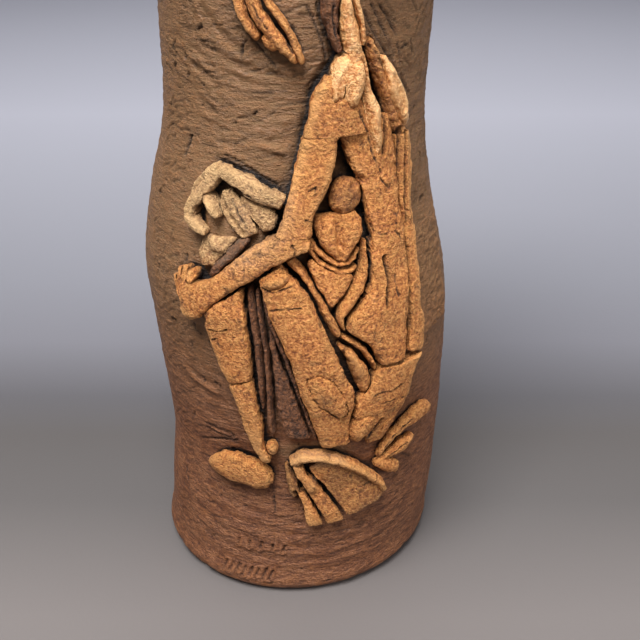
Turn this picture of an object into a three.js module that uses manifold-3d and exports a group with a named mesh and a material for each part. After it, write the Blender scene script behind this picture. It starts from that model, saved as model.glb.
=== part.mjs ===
import * as THREE from "three";
import { mergeVertices } from "three/addons/utils/BufferGeometryUtils.js";
import Module from "manifold-3d";

// A clay tree of life built as a hollow column, with a seated figure, its bundle, leaves and
// hanging strands laid on the wall as separate cut slabs, pads and rolled coils of clay.
// Millimetres. The base stands on z = 0 with its centre at the origin, and the figure faces -Y.

const TOTAL_HEIGHT = 360;
const BELLY_RADIUS = 65;
const WALL_THICKNESS = 8;
const BASE_THICKNESS = 10;
const RELIEF_DEPTH = 9; // how far a main limb stands off the wall
const SEAM = 0.3; // clearance between two pieces of clay, and under each of them
const RIM_HEIGHT = 9;
const RIM_OVERHANG = 2.5;
const FOOT_ROUNDING = 3;
const FOOT_SPREAD = 4; // how far the foot has slumped out at the front left
const FOOT_SPREAD_ANGLE = -0.42;
const FOOT_SPREAD_HEIGHT = 60;

const WALL_SIDES = 36;
const OUTER_RINGS = 36;
const INNER_RINGS = 9;
const LONGEST_SPAN = 9;

// The relief is laid out flat: u across from the centre line and v up, in mm of a sheet that is
// wrapped round the wall. The wall stretches the sheet to its own height and girth.
const SHEET_HEIGHT = 360;
const SHEET_BELLY = 65;
const SHEET_LIMB = 9;

// The column's outline on the sheet: height, radius, sideways lean of the centre.
const OUTLINE = [
  [0, 62, 0.5],
  [30, 63, 3],
  [60, 62.5, 4.6],
  [90, 64, 3.6],
  [120, 65, 2.2],
  [140, 64.6, 0],
  [170, 59, -1],
  [200, 53.3, 0.8],
  [220, 52.6, 1.4],
  [250, 53.6, 2],
  [290, 56, 1],
  [330, 54, 0],
  [360, 50, 0],
];

const wasm = await Module();
wasm.setup();

// Reads one column of the outline at sheet height v, as a smooth curve through its rows.
function outlineAt(v, column) {
  const last = OUTLINE.length - 1;
  let i = OUTLINE.findIndex((row) => row[0] > v) - 1;
  if (i < 0) i = v <= OUTLINE[0][0] ? 0 : last - 1;
  const slopeAt = (k) => {
    const before = OUTLINE[Math.max(k - 1, 0)];
    const after = OUTLINE[Math.min(k + 1, last)];
    return (after[column] - before[column]) / (after[0] - before[0]);
  };
  const from = OUTLINE[i];
  const to = OUTLINE[i + 1];
  const span = to[0] - from[0];
  const t = (v - from[0]) / span;
  const rise = 3 * t * t - 2 * t * t * t;
  const leave = t * (1 - t) * (1 - t) * span * slopeAt(i);
  const arrive = t * t * (t - 1) * span * slopeAt(i + 1);
  return from[column] + (to[column] - from[column]) * rise + leave + arrive;
}

const girth = BELLY_RADIUS / SHEET_BELLY;
const wallLean = (v) => outlineAt(v, 2) * girth;

function wallRadius(v, angle) {
  const fade = Math.max(0, 1 - v / FOOT_SPREAD_HEIGHT);
  const facing = Math.max(0, Math.cos(angle - FOOT_SPREAD_ANGLE));
  return outlineAt(v, 1) * girth + FOOT_SPREAD * fade * facing * facing;
}

const heightOf = (v) => (v * TOTAL_HEIGHT) / SHEET_HEIGHT;
const sheetHeightOf = (z) => (z * SHEET_HEIGHT) / TOTAL_HEIGHT;

// A point of the sheet, out mm off the wall's face.
function wrap(u, v, out) {
  const angle = u / outlineAt(v, 1);
  const radius = wallRadius(v, angle) + out;
  return [wallLean(v) + radius * Math.sin(angle), -radius * Math.cos(angle), heightOf(v)];
}

// Closed solid from rings of equal length, the first and last of which are filled in.
function solidFromRings(rings) {
  const count = rings[0].length;
  const points = rings.flat();
  const faces = [];
  for (let i = 0; i + 1 < rings.length; i++) {
    for (let j = 0; j < count; j++) {
      const a = i * count + j;
      const b = i * count + ((j + 1) % count);
      faces.push([a, b, b + count], [a, b + count, a + count]);
    }
  }
  for (const [ring, flip] of [[0, true], [rings.length - 1, false]]) {
    const centre = [0, 1, 2].map((k) => rings[ring].reduce((sum, p) => sum + p[k], 0) / count);
    points.push(centre);
    for (let j = 0; j < count; j++) {
      const a = ring * count + j;
      const b = ring * count + ((j + 1) % count);
      faces.push(flip ? [b, a, points.length - 1] : [a, b, points.length - 1]);
    }
  }
  return solidFromFaces(points, faces);
}

function solidFromFaces(points, faces) {
  const volume = faces.reduce((sum, [a, b, c]) => {
    const [p, q, r] = [points[a], points[b], points[c]].map((v) => new THREE.Vector3(...v));
    return sum + p.dot(q.cross(r));
  }, 0);
  const turned = volume < 0 ? faces.map(([a, b, c]) => [a, c, b]) : faces;
  const raw = new THREE.BufferGeometry();
  raw.setAttribute("position", new THREE.Float32BufferAttribute(points.flat(), 3));
  raw.setIndex(turned.flat());
  const merged = mergeVertices(raw, 1e-4);
  return new wasm.Manifold(
    new wasm.Mesh({
      numProp: 3,
      vertProperties: merged.attributes.position.array,
      triVerts: new Uint32Array(merged.index.array),
    }),
  );
}

function largestBody(solid) {
  return solid.decompose().reduce((best, body) => (body.volume() > best.volume() ? body : best));
}

// ---- The column: a wall pulled up by hand, a base slab inside its foot and a coil on its rim.

const rimFloor = sheetHeightOf(TOTAL_HEIGHT - RIM_HEIGHT);

function wallRing(v, inset) {
  return Array.from({ length: WALL_SIDES }, (_, i) => {
    const angle = (i / WALL_SIDES) * Math.PI * 2;
    const radius = wallRadius(v, angle) - inset;
    return [wallLean(v) + radius * Math.sin(angle), -radius * Math.cos(angle), heightOf(v)];
  });
}

// A surface of revolution that closes on itself, from a loop of [sheet height, inset] rows.
function ringSolid(loop) {
  const rings = loop.map(([v, inset]) => wallRing(v, inset));
  const points = rings.flat();
  const faces = [];
  for (let i = 0; i < rings.length; i++) {
    const next = (i + 1) % rings.length;
    for (let j = 0; j < WALL_SIDES; j++) {
      const k = (j + 1) % WALL_SIDES;
      const [a, b] = [i * WALL_SIDES + j, i * WALL_SIDES + k];
      const [c, d] = [next * WALL_SIDES + k, next * WALL_SIDES + j];
      faces.push([a, b, c], [a, c, d]);
    }
  }
  return solidFromFaces(points, faces);
}

function wall() {
  const outer = [[0, FOOT_ROUNDING], [sheetHeightOf(FOOT_ROUNDING), 0]];
  for (let i = 1; i <= OUTER_RINGS; i++) {
    const start = sheetHeightOf(FOOT_ROUNDING);
    outer.push([start + ((rimFloor - start) * i) / OUTER_RINGS, 0]);
  }
  const inner = [];
  for (let i = INNER_RINGS; i >= 0; i--) inner.push([(rimFloor * i) / INNER_RINGS, WALL_THICKNESS]);
  return ringSolid([...outer, ...inner]);
}

function baseSlab() {
  // The wall's inner face is a cone between its two lowest rings, so the slab's rim follows it.
  const inset = WALL_THICKNESS + SEAM;
  const upper = rimFloor / INNER_RINGS;
  const share = sheetHeightOf(BASE_THICKNESS) / upper;
  const foot = wallRing(0, inset);
  const next = wallRing(upper, inset);
  const disc = (t) => foot.map((p, i) => p.map((value, k) => value + (next[i][k] - value) * t));
  return solidFromRings([disc(0), disc(share)]);
}

function rimCoil() {
  const middle = -RIM_OVERHANG / 2 + WALL_THICKNESS / 2;
  const reach = (WALL_THICKNESS + RIM_OVERHANG) / 2;
  const floor = TOTAL_HEIGHT - RIM_HEIGHT + SEAM;
  const loop = [
    [0, -0.75],
    [0.45, -1],
    [0.85, -0.7],
    [1, 0],
    [0.85, 0.7],
    [0.45, 1],
    [0, 0.75],
  ];
  return ringSolid(
    loop.map(([up, across]) => {
      const z = floor + up * (TOTAL_HEIGHT - floor);
      return [sheetHeightOf(z), middle + across * reach];
    }),
  );
}

// ---- The applied pieces. Each is a run of stations [left u, left v, right u, right v, out]:
// its two edges on the sheet and how far its face stands off the wall.

// How the face falls away from its full height across the piece, as [share of width, share of out].
const CUT_SLAB = [[0, 0.72], [0.1, 0.94], [0.36, 1], [0.64, 1], [0.9, 0.94], [1, 0.72]];
const ROLLED_COIL = [[0, 0.42], [0.24, 0.88], [0.5, 1], [0.76, 0.88], [1, 0.42]];
const PRESSED_PAD = [[0, 0.5], [0.16, 0.84], [0.5, 1], [0.84, 0.84], [1, 0.5]];

// Splits long spans of a run, so that its underside follows the round wall.
function fine(stations) {
  return stations.flatMap((to, i) => {
    if (i === 0) return [to];
    const from = stations[i - 1];
    const left = Math.hypot(to[0] - from[0], to[1] - from[1]);
    const right = Math.hypot(to[2] - from[2], to[3] - from[3]);
    const parts = Math.ceil(Math.max(left, right) / LONGEST_SPAN);
    return Array.from({ length: parts }, (_, k) => {
      return from.map((value, column) => value + ((to[column] - value) * (k + 1)) / parts);
    });
  });
}

// The solid of a run of stations, grown by grow on every side, with its underside at under.
function runSolid({ stations: drawn, face, under = 0 }, grow = 0) {
  const stations = fine(drawn);
  const scale = RELIEF_DEPTH / SHEET_LIMB;
  const mid = ([lu, lv, ru, rv]) => [(lu + ru) / 2, (lv + rv) / 2];
  const rings = stations.map(([lu, lv, ru, rv, out], i) => {
    const width = Math.hypot(ru - lu, rv - lv);
    const across = [(ru - lu) / width, (rv - lv) / width];
    let along = [0, 0];
    if (i === 0 || i === stations.length - 1) {
      const [near, far] = [mid(stations[i]), mid(stations[i === 0 ? 1 : i - 1])];
      const gap = Math.hypot(near[0] - far[0], near[1] - far[1]);
      along = [(near[0] - far[0]) / gap, (near[1] - far[1]) / gap];
    }
    const at = (share) => {
      const reach = share * (width + 2 * grow) - grow;
      return [
        lu + across[0] * reach + along[0] * grow,
        lv + across[1] * reach + along[1] * grow,
      ];
    };
    const floor = under > 0 ? under * scale - grow : SEAM - (grow > 0 ? 2 : 0);
    const top = face.map(([share, height]) => {
      return wrap(...at(share), SEAM + (out * scale - SEAM) * height + grow);
    });
    const bottom = [1, 0.75, 0.5, 0.25, 0].map((share) => wrap(...at(share), floor));
    return [...top, ...bottom];
  });
  return solidFromRings(rings);
}

// Stations of a strip along a line of [u, v] points, thinner at its two ends. It narrows evenly
// from its first width to its last.
function strip(line, width, out, lastWidth = width) {
  return line.map(([u, v], i) => {
    const before = line[Math.max(i - 1, 0)];
    const after = line[Math.min(i + 1, line.length - 1)];
    const length = Math.hypot(after[0] - before[0], after[1] - before[1]);
    const end = i === 0 || i === line.length - 1;
    const here = width + ((lastWidth - width) * i) / (line.length - 1);
    const half = (here / 2) * (end ? 0.7 : 1);
    const side = [((after[1] - before[1]) / length) * half, (-(after[0] - before[0]) / length) * half];
    return [u - side[0], v - side[1], u + side[0], v + side[1], out * (end ? 0.85 : 1)];
  });
}

// Stations of an oval pad: centre, half length along its tilted axis, half width, tilt from upright.
function oval(u, v, halfLength, halfWidth, tilt, out) {
  const turn = (tilt * Math.PI) / 180;
  const axis = [Math.sin(turn), Math.cos(turn)];
  const side = [axis[1], -axis[0]];
  return [-0.97, -0.8, -0.45, 0, 0.45, 0.8, 0.97].map((t) => {
    const half = halfWidth * Math.sqrt(1 - t * t);
    const [cu, cv] = [u + axis[0] * halfLength * t, v + axis[1] * halfLength * t];
    const [du, dv] = [side[0] * half, side[1] * half];
    const lift = out * (0.62 + 0.38 * Math.sqrt(1 - t * t));
    return [cu - du, cv - dv, cu + du, cv + dv, lift];
  });
}

const slab = (stations, under) => ({ stations, face: CUT_SLAB, under });
const coil = (stations, under) => ({ stations, face: ROLLED_COIL, under });
const pad = (stations, under) => ({ stations, face: PRESSED_PAD, under });

// The pieces in the order they lie, the uppermost first: each is trimmed to the ones before it.
// A node with several runs is one piece of clay pinched together from them.
const PIECES = [];
const lay = (name, clay, ...runs) => PIECES.push({ name, clay, runs });

// Fingers pressed into the top of the shoulder, where the trunk comes down on it.
lay("clasp_left", "ochre", pad([
  [17.5, 233.5, 19.5, 231.5, 8], [14.5, 231.5, 17.5, 229, 10.5], [12.5, 227.5, 16, 226, 11],
  [11.6, 223, 15.3, 223, 11], [11.3, 219, 15, 219, 10.5], [12, 216.5, 14.8, 216.5, 8.5],
]));
lay("clasp_centre", "ochre", pad([
  [19, 231.5, 21.2, 231.5, 8.5], [17, 228.5, 22.6, 229.5, 11], [16, 224, 23, 225, 12],
  [15.8, 220, 22.3, 220, 12], [16, 216.5, 20.8, 216.5, 11], [16.8, 214.3, 19.4, 214.3, 8.5],
]));

// The shoulder's long drop-shaped muscle, with the band that ties it to the trunk.
lay("shoulder_drop", "ochre", pad([
  [21.4, 233.6, 22.4, 233.6, 7.5], [22.8, 229, 24.2, 229.3, 8], [23.3, 224.5, 24.9, 224.9, 8.5],
  [22.8, 220, 25.4, 220.4, 9], [22.7, 217.4, 27, 217.8, 10], [23.2, 214, 28.6, 214.4, 11],
  [23.8, 209.6, 29.4, 209.8, 11], [25, 205, 30.2, 205.3, 10.5], [26.4, 200.8, 30.2, 201, 10],
  [28, 197.4, 29.8, 197.4, 8.5],
]));
lay("shoulder_slab", "ochre", slab([
  [11, 225.6, 13.4, 226.8, 8], [8, 221.5, 15.4, 222.4, 9.5], [6.3, 216, 22, 217.4, 10],
  [5.3, 210, 23, 210.8, 10], [4, 205.5, 24.6, 205.8, 10],
]));
lay("upper_arm", "ochre", slab([
  [3.6, 205, 14.2, 205, 10], [2.8, 198, 14.3, 198, 10], [1.7, 192, 13.4, 192, 10],
  [0.8, 186, 11.6, 186, 10], [0.2, 181, 9.8, 181, 10], [-1, 176, 8.2, 176.5, 10],
  [-3, 171.4, 7.8, 171, 10],
]));

// The near forearm across the lap, and its hand with a squared finger in front of three thin ones.
lay("finger_front", "ochre", pad([[-36.4, 153.8, -34.2, 154, 7.5], [-36.8, 150.2, -34.2, 150.2, 8.5]]));
lay("forearm", "ochre", slab([
  [8, 169.6, 6.6, 165.6, 9], [2, 171, 2.4, 164.2, 10], [-3.5, 170.6, -2.4, 161.5, 10],
  [-8, 168, -7.4, 158.5, 9.5], [-13.5, 164.4, -12.8, 154.2, 9.5], [-18, 160, -17.4, 151, 9],
  [-22.5, 155.5, -22.8, 146.8, 9], [-27.5, 152, -27.4, 142.6, 9], [-32, 150, -31.5, 138.5, 9],
]));
lay("hand", "ochre",
  slab([
    [-32.3, 150, -31.8, 138, 8.5], [-36, 149.4, -35.6, 135.2, 8.5], [-39, 147.6, -38.4, 134.4, 8],
    [-41, 143.6, -40.6, 136, 6.5],
  ]),
  coil(strip([[-37.6, 145], [-38.2, 149.8], [-38.6, 154.6]], 1.9, 7)),
  coil(strip([[-39.6, 143.6], [-41, 148.6], [-41.6, 153.4]], 1.9, 6.5)),
  coil(strip([[-39.8, 140.4], [-42.6, 143.6], [-44.4, 149.6]], 2.1, 6)));

// The far arm, bent round the bundle, with its thumb.
lay("far_thumb", "dusty", pad([
  [-29.6, 182.8, -27.8, 183.4, 6.5], [-28.6, 180.2, -26, 181.6, 8.5], [-26.8, 177.8, -24.2, 179.4, 9],
  [-25.2, 175.6, -23, 177, 8], [-24.2, 174.8, -22.8, 175.6, 6.5],
]));
lay("far_forearm", "dusty", slab([
  [-24.8, 194.6, -22.6, 191, 6.5], [-29.4, 190.8, -25, 186.6, 7], [-32.6, 186.6, -27.8, 183, 7],
  [-34.8, 181.8, -30.2, 180, 7], [-36.4, 177.6, -32.6, 177.6, 7], [-36.6, 173.4, -33.2, 174.4, 7],
  [-34.8, 170.2, -32, 172.4, 6.5], [-31.8, 168.4, -30.2, 170.8, 6], [-29.4, 167.4, -28.6, 169.4, 5],
]));
lay("far_arm", "dusty", slab([
  [-24, 194.2, -21.8, 189.2, 6], [-18, 192.2, -17.2, 187, 6.5], [-12, 189.6, -13.4, 183.6, 6.5],
  [-6, 186.6, -8, 181.6, 6.5], [-0.6, 184, -2.4, 179.6, 6],
]));

// The bundle of leaves in the far arm.
lay("sleeve_leaf", "umber", pad([
  [-13.2, 168.8, -12.6, 167.2, 5], [-17.4, 166.6, -15.6, 163.6, 6.5], [-22, 161.8, -19.6, 159, 6.5],
  [-26.4, 157.2, -24, 154.6, 6.5], [-28.4, 153.9, -26.4, 152.7, 5.5],
]));
lay("bundle_leaf_wide", "dusty", pad([
  [-23.5, 184, -20.4, 185.2, 4], [-24.4, 179.5, -17.2, 182, 5], [-22, 175, -13.8, 177.8, 5],
  [-19, 171, -10.8, 173.4, 5], [-16.6, 168.2, -10.2, 170, 4.5],
]));
lay("bundle_leaf_small", "dusty", pad([
  [-16.6, 182.8, -14.4, 183, 4], [-15, 179.4, -8, 180.8, 4.5], [-12, 176.2, -3.6, 178.6, 4.5],
  [-9, 173.2, -2.8, 175.4, 4.5], [-8.6, 171, -3.8, 172, 4],
]));
lay("bundle_back", "dusty",
  slab([
    [-30, 166.8, -17.5, 168, 2.6], [-33, 163.6, -19, 164, 2.6], [-33.6, 159, -23, 159.5, 2.6],
    [-33, 155.4, -27, 155.6, 2.6],
  ]),
  pad([[-28.5, 167, -28, 164.8, 4], [-25.6, 166, -26, 162.6, 5], [-22.4, 164.6, -23, 162.2, 4]]));

// The child: a ball for the head, a two-lobed chest, cords at its collar and a cloth on its lap.
lay("child_head", "ochre", pad(oval(20.2, 183, 6.4, 5.8, 0, 7)));
lay("child_chest", "ochre",
  pad([
    [9, 176.6, 17.8, 177, 5.5], [9, 173.5, 18.3, 173.5, 6.5], [10.2, 169.5, 18.3, 169.5, 6.8],
    [12.4, 166, 18.4, 166, 6.5], [15, 162.7, 18.9, 162.7, 6], [17.2, 160, 19.2, 160, 5],
  ]),
  pad([
    [17.6, 178, 23.6, 178, 6], [17.7, 173.5, 26.6, 174, 7.5], [17.7, 169.5, 27, 169.5, 8],
    [18, 166, 25.4, 166.4, 7.5], [18.4, 162.8, 23, 163.6, 7], [18.9, 159.8, 20.8, 160, 5.5],
  ]));
lay("collar_cords", "ochre",
  coil(strip([[8, 168.6], [10.3, 164.8], [13.6, 161.4], [17.4, 158.4], [21.4, 158.2], [24, 160.6],
    [25.6, 163.6]], 1.5, 5.5)),
  coil(strip([[8, 168.6], [8.3, 164], [11, 160.2], [14.6, 157.4], [18.6, 155.4], [22.6, 155.2],
    [25, 156.8]], 1.5, 5)));
lay("lap_cloth", "ochre", slab([
  [7.6, 160, 9, 160.8, 4.5], [8.8, 156.2, 14, 156.2, 5], [10.3, 152.5, 23.2, 153.4, 5],
  [11.9, 149, 21.6, 149.8, 5.2], [13.3, 145.8, 18.2, 146, 5.2], [14.4, 143, 15.8, 143, 4.5],
]));

// The sling that carries the child, and the two leaf-shaped tails below its knot.
lay("sling_band", "ochre", coil([
  [27.3, 166, 28.6, 166, 5], [27, 159, 29.1, 159, 6], [25.4, 153.5, 28.8, 153, 6.5],
  [22.2, 148, 27.3, 147.5, 6.5], [18.7, 144, 23.3, 142.5, 6.5], [16.8, 139.5, 19.5, 138.5, 6.5],
  [17.3, 135.5, 19, 135.2, 6], [18.4, 132.8, 19.6, 132.8, 5],
]));
lay("sling_strap", "ochre", coil([
  [-0.5, 160.4, 3, 161.2, 5], [3.5, 156.5, 6.3, 157.5, 6], [6.5, 152.5, 8.3, 153, 6],
  [8.8, 147.5, 10.7, 148, 6.5], [10.8, 142.5, 13.1, 143.5, 6.5], [12.3, 138, 14.8, 139.5, 6.5],
  [14, 134, 16.6, 135.5, 6.5], [15.3, 131, 17.6, 132, 6],
]));
lay("sling_tail_wide", "ochre", pad([
  [15.8, 127.5, 17.2, 127, 5], [17.6, 123.5, 20.6, 124.3, 7], [19.2, 119, 23.4, 120, 7.5],
  [20.3, 114.5, 26, 115.5, 7.5], [21.4, 110, 27.6, 111, 7], [22.6, 106.8, 27, 107.5, 6.5],
  [23.8, 104.9, 25.2, 104.9, 5],
]));
lay("sling_tail_thin", "ochre", coil([
  [17.4, 130, 18, 131, 5], [21, 127, 22.2, 128.6, 6.5], [24.8, 122.6, 26.4, 123.8, 6.5],
  [27.2, 118, 28.6, 118.8, 6.5], [28.8, 113.8, 30, 114.2, 5.5],
]));

// The near leg, from the knee down to the ankle, with pads pressed on both.
lay("knee_pad", "ochre", pad(oval(-3.8, 154.8, 4.8, 3.4, 72, 11), 6));
lay("ankle_pad", "ochre", pad([
  [2.6, 116, 9, 117, 9.5], [2, 112.5, 13.5, 113.5, 10.5], [3, 107, 16.6, 108.5, 10.5],
  [5.6, 102.5, 18.2, 103.5, 10.5], [10.5, 99, 18.4, 99.5, 10], [12.5, 96.5, 17.2, 96.5, 9],
], 5));
lay("near_leg", "ochre", slab([
  [-9, 154.6, -2, 160, 8.5], [-8.6, 152, 2.8, 153.8, 9], [-7.8, 147.5, 7, 148, 9],
  [-6.3, 141.5, 9, 142, 9], [-4.8, 135.5, 11, 136, 9], [-3, 129, 12.8, 130, 9],
  [-1.8, 123, 13.8, 124.5, 9], [-0.4, 117.5, 15.8, 118.5, 9], [0.2, 112, 17.8, 113, 9],
  [1.2, 107, 19.6, 107, 9], [3, 100.5, 20, 101, 8.5], [5, 94, 18.2, 95, 7.5],
  [6, 88, 17.6, 89, 7], [7, 83, 17.6, 84, 6.5], [7.6, 81, 17.8, 81.6, 5.5],
]));

// The figure's back and seat, and the long band of cloth that follows its outer edge.
lay("side_leaf", "ochre", pad([
  [30, 230.5, 31.3, 231.5, 6], [30.4, 225.5, 34.5, 227, 8], [31.8, 219.5, 37.4, 222, 9],
  [34.2, 214.5, 39.8, 217, 9], [36.6, 210, 41.5, 212, 9], [39.3, 206.3, 42.4, 208, 8],
  [41, 204.6, 42.4, 205, 6],
]));
lay("side_band", "ochre", coil([
  [24, 236, 26.5, 238.5, 6], [25.2, 231.5, 29, 233, 7], [27.2, 226.5, 30.4, 227.4, 7],
  [29.5, 220.5, 32.6, 221.6, 7], [32, 214.5, 35.2, 215.8, 7], [34.2, 209, 38, 210.4, 7],
  [35.6, 205, 40.8, 205.8, 7], [36.9, 203.2, 43, 203.8, 7],
]));
lay("outer_band", "ochre", slab([
  [37.2, 202.4, 43.2, 203, 7], [38, 197, 44.8, 197, 7], [39, 190, 45.8, 190, 7],
  [40.4, 183, 46.6, 183, 7], [41.8, 177, 47, 176, 7], [43.6, 170, 48.7, 169, 7],
  [44.8, 162, 49.6, 162, 7], [46, 155, 50.6, 155, 7], [46.6, 147, 51.5, 147.5, 7],
  [46.4, 141, 51.5, 140, 7], [46, 135, 52, 134, 7], [45.4, 128.5, 52.8, 128, 7],
  [44.6, 122.5, 52, 121.5, 7], [43.4, 118.5, 50.6, 116.8, 7],
]));
lay("back_slab", "ochre", slab([
  [15.8, 205, 33, 211, 8], [18.3, 199, 34.8, 203, 8], [20.8, 194, 36.2, 195.5, 8.5],
  [23.5, 189, 37.6, 189.5, 8], [25.6, 184.5, 38.9, 185, 8], [27.3, 180, 39.8, 180, 8],
  [28.8, 175, 41, 175, 8], [30.3, 169.5, 42.3, 169.5, 8], [30.6, 163, 43.5, 163, 8],
  [30.5, 156, 44.5, 156, 8], [30.3, 150, 45.1, 150, 8], [28.4, 145.4, 45, 145.5, 8],
  [24.6, 141.2, 44.8, 141, 8], [21, 137.6, 44.2, 136.5, 8], [19.8, 134, 43.4, 132, 8],
  [22.5, 131, 42.8, 127.5, 8], [26.8, 127, 42.2, 123.5, 8], [29.5, 121.5, 41.6, 120, 8],
  [31, 116.4, 41, 117, 8],
]));
lay("seat_slab", "ochre", slab([
  [31, 114.6, 50, 115.4, 8], [28.4, 110.5, 47.5, 111.5, 8], [25.2, 106, 45.5, 107, 8],
  [22.6, 102.8, 44.6, 103, 8], [21.5, 98.5, 43.3, 98.5, 7.5], [20.3, 95, 41.8, 95, 7],
  [21.6, 90, 40, 92, 6], [24, 85, 38, 86.6, 4.5], [25.4, 80.6, 34.6, 81.4, 4], [26.4, 78, 32.4, 78.4, 3.5],
]));
lay("heel_pad", "ochre", pad([
  [19.2, 82, 22.8, 81.8, 6], [17.6, 85.5, 25.8, 84.8, 8], [18.2, 89.5, 28, 88.5, 8.5],
  [20.5, 93, 30, 92, 8], [24, 95, 28.5, 94.6, 6.5],
]));
lay("heel_leaf", "ochre", pad([
  [30, 81.5, 32, 81.3, 4.5], [31, 85, 35.2, 84.2, 6], [32.8, 88.8, 37.5, 87.6, 6],
  [35.2, 91.2, 38.4, 90.4, 5],
]));

// The far leg in two slabs, its foot, and the long folds of cloth hanging between the legs.
lay("far_shin", "ochre", slab([
  [-30.4, 139.6, -16.6, 149.4, 7.5], [-31, 135, -15.9, 142, 8], [-30.2, 128, -15.9, 131, 8],
  [-28.8, 121, -16.4, 122.5, 8], [-27, 114.5, -16.9, 116, 8], [-25.2, 109.7, -17.1, 112.7, 7.5],
]));
lay("far_ankle", "ochre", slab([
  [-25, 108.3, -17, 111.8, 7], [-24, 103, -16.2, 105, 7.5], [-22.4, 97, -15.4, 98, 7.5],
  [-20.8, 90.5, -14.8, 91, 7], [-19.2, 84, -14.7, 84, 7], [-17.8, 78.5, -14.4, 78.5, 6.5],
  [-16, 73.5, -13.4, 73.5, 6], [-14.8, 71.8, -12.9, 72, 5],
]));
lay("fold_long", "umber", coil([
  [-14.5, 149, -12.7, 151, 4], [-14.6, 140, -12.1, 140, 5], [-14.6, 128, -12, 128, 5],
  [-15, 116, -12.4, 116, 5], [-14.8, 106, -12.9, 106, 5], [-14.1, 98, -13.1, 98, 4],
]));
lay("fold_thin", "umber", coil([
  [-11.5, 150, -10.4, 149, 4], [-11.3, 138, -9.9, 137, 5], [-11.4, 125, -9.8, 125, 5],
  [-11.7, 112, -9.9, 112, 5], [-12.1, 100, -10.2, 100, 5.5], [-12.5, 92, -10.1, 92, 5.5],
  [-11.6, 86.5, -9.8, 86.5, 4.5],
]));
lay("fold_broad", "umber", slab([
  [-8.3, 133, -7.3, 132, 3.5], [-8.5, 122, -5.9, 120, 4.5], [-8.4, 110, -3, 110, 4.5],
  [-8.2, 100, -0.7, 100, 4.5], [-7.4, 91, 1.7, 91, 4], [-5, 84.5, 3.4, 84, 3.5],
]));
lay("fold_edge", "umber", coil([
  [-9.2, 147, -8.2, 146, 5], [-7.7, 138, -6.2, 138, 6], [-6.1, 130, -4, 129, 6],
  [-4, 121, -2.3, 121, 6], [-1.9, 112, -0.4, 112, 6], [0, 104.5, 1.3, 104.5, 6],
  [1.9, 96.5, 3.5, 96.5, 5.5], [3.5, 89, 5.2, 89, 5], [4.7, 84, 6.2, 84, 4],
]));
lay("fold_bead", "ochre", pad(oval(-11.6, 78.6, 3, 2.1, 0, 6)));
lay("far_foot", "ochre", pad([
  [-41.6, 63.6, -41.6, 61.4, 4], [-38.4, 67.4, -39, 59.8, 5.5], [-34, 70.4, -34.6, 58.4, 6.5],
  [-28, 71.8, -29.5, 57.4, 6.5], [-22.5, 71.4, -22.5, 57.2, 6.5], [-17.5, 70, -18, 56, 6],
  [-14, 67.5, -14.5, 57.5, 5.5], [-12.4, 63.5, -12.6, 60, 4],
]));

// The near foot: a raised rim round a hollow sole, and three long toes split by two cuts.
lay("foot_rim", "ochre", coil(strip([[-4.4, 72.4], [-0.4, 75.4], [6.6, 75.6], [13.4, 72.6], [18.6, 69.2],
  [23.4, 65], [27.8, 60.4], [31.4, 56.2], [33.2, 52.2]], 3.8, 7.5)));
lay("foot_toe", "ochre", coil([
  [-7.2, 70.4, -6.2, 70.8, 5], [-6.8, 66, -4.2, 66.6, 6], [-6.4, 61.6, -2.3, 62, 6],
  [-5.6, 57.8, -2, 58.2, 6], [-4.6, 54.6, -2.6, 54.8, 4.5],
]));
lay("foot_heel", "ochre", slab([
  [-1.8, 57.6, 0.2, 57.8, 5], [-0.4, 53.8, 2.2, 54, 6], [0.6, 48.8, 4.6, 48.8, 6],
  [1.6, 44, 6.9, 44, 6], [2.8, 41, 8.2, 41.1, 5],
]));
lay("foot_middle", "ochre",
  slab([
    [-4.2, 71.6, -0.6, 70.6, 6], [-2.4, 67.4, 1.2, 66.8, 6.5], [-0.3, 62.8, 4.1, 62.4, 6.5],
    [2.2, 58.2, 7, 58, 6.3], [4.5, 53.4, 10, 53.4, 6.3], [7.2, 48, 13.2, 48.1, 6.5],
    [10, 41.8, 16.2, 42.3, 5.5],
  ]),
  pad(oval(3.2, 61.8, 3.4, 1.8, 8, 8.5)));
lay("foot_sole", "umber", slab([
  [2.6, 70.2, 8, 73.6, 5], [5, 65.4, 17, 70, 5], [8, 60.8, 23.4, 65.2, 4.6],
  [10.8, 56.4, 28.4, 60, 4.6], [13.2, 52.4, 33, 55, 5], [15.2, 49.2, 34.2, 51.2, 5.5],
  [16.8, 46.4, 31.6, 48.2, 5.5], [18, 43.9, 22.4, 45, 5],
]));

// Leaves springing from the heel towards the right.
lay("leaf_large", "ochre", pad([
  [30.6, 69.8, 31.4, 68.8, 3.5], [33, 73.6, 34.4, 72.2, 4], [37.4, 78.6, 38.8, 75.4, 4.2],
  [43.6, 83, 44.6, 78, 4.5], [50.6, 86, 51.4, 77.8, 4.5], [56.8, 86.6, 57.4, 77.6, 4.2],
  [60.6, 84.4, 61.2, 78.8, 4], [62, 82.2, 62.3, 80.4, 3.2],
]));
lay("leaf_pair", "ochre",
  pad([
    [31.4, 67.6, 32, 66.8, 3.5], [35.2, 69.4, 36.2, 66.8, 4], [38.6, 70.8, 40.4, 66.4, 4.5],
    [43, 73, 45, 66.6, 4.5], [46.6, 73.4, 48.2, 69.4, 4.5], [49.4, 73, 49.8, 71.4, 3.5],
  ]),
  pad([
    [30.4, 67.4, 29.6, 64.8, 4], [33, 67, 32.4, 61.8, 4.5], [37.4, 65, 36, 58.6, 4.5],
    [41.6, 62.4, 39.4, 56.6, 4], [42.6, 61, 41, 57.2, 3],
  ]));

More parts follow.
